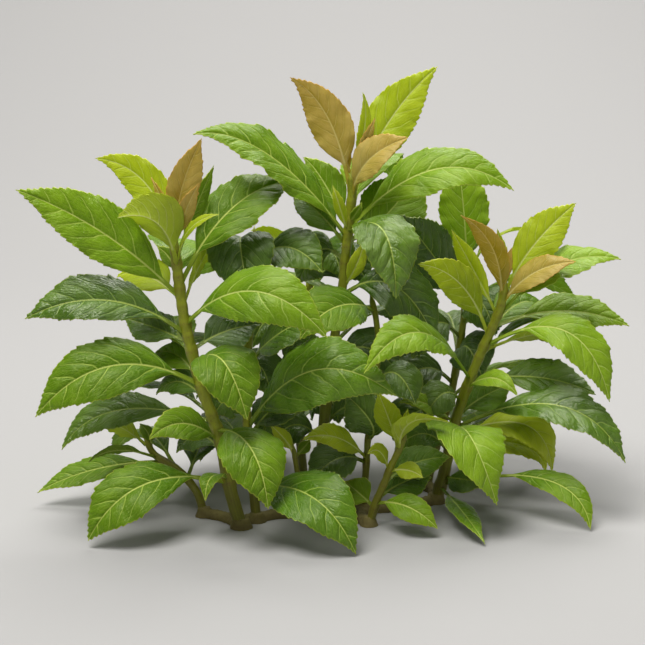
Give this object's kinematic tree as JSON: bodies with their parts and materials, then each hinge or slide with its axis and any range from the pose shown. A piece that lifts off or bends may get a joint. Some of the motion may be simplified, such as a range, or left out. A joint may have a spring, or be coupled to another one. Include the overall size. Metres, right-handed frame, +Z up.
{
  "type": "hygrophila plant",
  "caption": "Bushy emersed-grown aquarium plant: upright stems with broad toothed leaves in pairs, on a creeping rootstock cut off flat.",
  "frame": {"origin": "on the flat cut under the crown of the rootstock, in the middle of the clump", "axes": "+Z up along the stems, +X to the right and -Y towards the side the clump is seen from"},
  "size_m": [0.248, 0.1671, 0.183],
  "materials": {
    "mature_leaf": "satin green leaf with paler veins",
    "old_leaf": "satin dark green leaf, quilted between its veins",
    "low_leaf": "satin deep green leaf, quilted between its veins",
    "fresh_leaf": "satin light green leaf with pale veins",
    "young_leaf": "soft lime leaf, thin enough to glow",
    "tip_leaf": "soft bronze leaf with a greenish midrib",
    "stem": "matt olive green with brown nodes",
    "rootstock": "matt brown"
  },
  "bodies": {
    "root": {"rootstock": "rootstock", "stem_left": "stem", "leaf_left_01": "mature_leaf", "leaf_left_04": "mature_leaf", "leaf_left_05": "old_leaf", "leaf_left_06": "old_leaf", "leaf_left_07": "mature_leaf", "leaf_left_09": "mature_leaf", "leaf_left_10": "mature_leaf", "leaf_left_13": "old_leaf", "leaf_left_14": "fresh_leaf", "leaf_left_16": "mature_leaf", "leaf_left_18": "fresh_leaf", "leaf_left_19": "mature_leaf", "leaf_left_21": "young_leaf", "leaf_left_23": "young_leaf", "leaf_left_25": "tip_leaf", "stem_centre": "stem", "leaf_centre_01": "old_leaf", "leaf_centre_02": "old_leaf", "leaf_centre_04": "old_leaf", "leaf_centre_08": "mature_leaf", "leaf_centre_09": "mature_leaf", "leaf_centre_11": "old_leaf", "leaf_centre_12": "fresh_leaf", "leaf_centre_14": "fresh_leaf", "leaf_centre_15": "tip_leaf", "leaf_centre_16": "young_leaf", "stem_right": "stem", "leaf_right_02": "mature_leaf", "leaf_right_06": "young_leaf", "leaf_right_07": "fresh_leaf", "leaf_right_08": "old_leaf", "leaf_right_12": "old_leaf", "leaf_right_13": "fresh_leaf", "leaf_right_14": "mature_leaf", "leaf_right_16": "fresh_leaf", "leaf_right_18": "mature_leaf", "leaf_right_19": "fresh_leaf", "leaf_right_23": "young_leaf", "stem_mid_left": "stem", "leaf_mid_left_01": "low_leaf", "leaf_mid_left_04": "low_leaf", "leaf_mid_left_05": "old_leaf", "leaf_mid_left_07": "mature_leaf", "stem_back_left": "stem", "stem_back_right": "stem", "leaf_back_right_02": "mature_leaf", "leaf_back_right_03": "old_leaf", "leaf_back_right_04": "fresh_leaf", "leaf_back_right_06": "fresh_leaf", "stem_back_centre": "stem", "leaf_back_centre_02": "old_leaf", "leaf_back_centre_03": "mature_leaf", "leaf_back_centre_04": "mature_leaf", "leaf_back_centre_05": "fresh_leaf", "leaf_back_centre_06": "mature_leaf", "stem_front": "stem", "stem_tuft": "stem", "stem_inner": "stem"}
  },
  "joints": []
}
